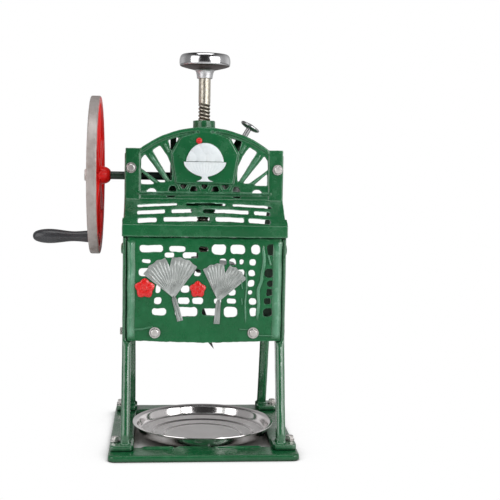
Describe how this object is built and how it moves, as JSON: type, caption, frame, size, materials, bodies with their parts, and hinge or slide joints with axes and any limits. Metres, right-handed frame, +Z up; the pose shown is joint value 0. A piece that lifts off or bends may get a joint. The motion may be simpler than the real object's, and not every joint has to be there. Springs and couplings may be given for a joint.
{
  "type": "hand cranked ice shaver",
  "caption": "Upright cast hand ice shaver with side flywheel crank, bevel gears, screw-fed presser, pierced front panel, open legs and a catch dish.",
  "frame": {"origin": "on the plane that the base rests on, straight below the feed spindle's axis", "axes": "+Z up along the feed spindle, -Y towards the pierced front panel, -X along the crank axle towards the flywheel"},
  "size_m": [0.3895, 0.308, 0.579],
  "materials": {
    "green_enamel": "gloss",
    "red_enamel": "gloss",
    "white_enamel": "gloss",
    "silver_enamel": "satin",
    "black_enamel": "satin",
    "ground_steel": "satin",
    "zinc_steel": "satin",
    "stainless": "brushed",
    "chrome_plate": "mirror",
    "gear_iron": "machined",
    "bush_bronze": "machined",
    "grip_black": "gloss"
  },
  "bodies": {
    "frame": {"base_frame": "green_enamel", "left_side_frame": "green_enamel", "right_side_frame": "green_enamel", "head_casting": "green_enamel", "front_panel": "green_enamel", "bearing_bridge": "green_enamel", "blade_bed": "green_enamel", "relief_bowl": "white_enamel", "relief_ice": "white_enamel", "relief_cherry": "red_enamel", "relief_blossoms": "red_enamel", "relief_leaf_left": "silver_enamel", "relief_leaf_right": "silver_enamel", "shaving_blade": "ground_steel", "blade_clamp": "ground_steel", "blade_screws": "zinc_steel", "lever_screw": "zinc_steel", "head_bolts": "zinc_steel", "head_washers": "zinc_steel", "panel_bolts": "zinc_steel", "panel_washers": "zinc_steel", "panel_nuts": "zinc_steel", "foot_bolts": "zinc_steel", "foot_washers": "zinc_steel", "bridge_screws": "zinc_steel", "bed_screws": "zinc_steel", "spindle_bush": "bush_bronze", "gear_bush": "bush_bronze", "gear_washer": "bush_bronze", "nut_washer": "bush_bronze", "axle_outer_bush": "bush_bronze", "axle_inner_bush": "bush_bronze"},
    "wheel": {"flywheel": "red_enamel", "crank_axle": "black_enamel", "drive_pinion": "gear_iron", "pinion_pin": "zinc_steel", "wheel_washer": "zinc_steel", "wheel_nut": "zinc_steel", "crank_pin": "zinc_steel", "grip_ring": "zinc_steel"},
    "grip": {"crank_grip": "grip_black"},
    "gear": {"bevel_gear": "gear_iron", "drive_key": "ground_steel", "gear_collar": "zinc_steel", "collar_screw": "zinc_steel"},
    "spindle": {"feed_spindle": "ground_steel", "top_handwheel": "chrome_plate", "handwheel_nut": "zinc_steel", "presser_nut": "zinc_steel", "presser_disc": "gear_iron", "presser_spikes": "stainless"},
    "nut": {"feed_nut": "gear_iron"},
    "lock": {"lock_rod": "zinc_steel", "lock_knob": "chrome_plate"},
    "lever": {"blade_lever": "black_enamel"},
    "dish": {"drip_dish": "stainless"}
  },
  "joints": [
    {"name": "flywheel_spin", "type": "hinge", "parent": "frame", "child": "wheel", "pos_m": [-0.161, 0, 0.396], "axis": [1, 0, 0], "continuous": true},
    {"name": "grip_spin", "type": "hinge", "parent": "wheel", "child": "grip", "pos_m": [-0.21, 0, 0.3035], "axis": [1, 0, 0], "continuous": true},
    {"name": "gear_spin", "type": "hinge", "parent": "frame", "child": "gear", "pos_m": [0, 0, 0.36], "axis": [0, 0, 1], "continuous": true},
    {"name": "spindle_feed", "type": "slide", "parent": "gear", "child": "spindle", "axis": [0, 0, 1], "range_m": [-0.06, 0.06]},
    {"name": "nut_spin", "type": "hinge", "parent": "frame", "child": "nut", "pos_m": [0, 0, 0.4], "axis": [0, 0, 1], "continuous": true},
    {"name": "lock_push", "type": "slide", "parent": "frame", "child": "lock", "axis": [-0.503, 0, -0.8643], "range_m": [0, 0.011]},
    {"name": "blade_adjust", "type": "hinge", "parent": "frame", "child": "lever", "pos_m": [0.005, -0.0753, 0.177], "axis": [0, -1, 0], "range_deg": [-8, 8]},
    {"name": "dish_lift", "type": "slide", "parent": "frame", "child": "dish", "axis": [0, 0, 1], "range_m": [0, 0.1]}
  ],
  "couplings": [
    {"joint": "gear_spin", "follows": "flywheel_spin", "ratio": -0.33333}
  ]
}
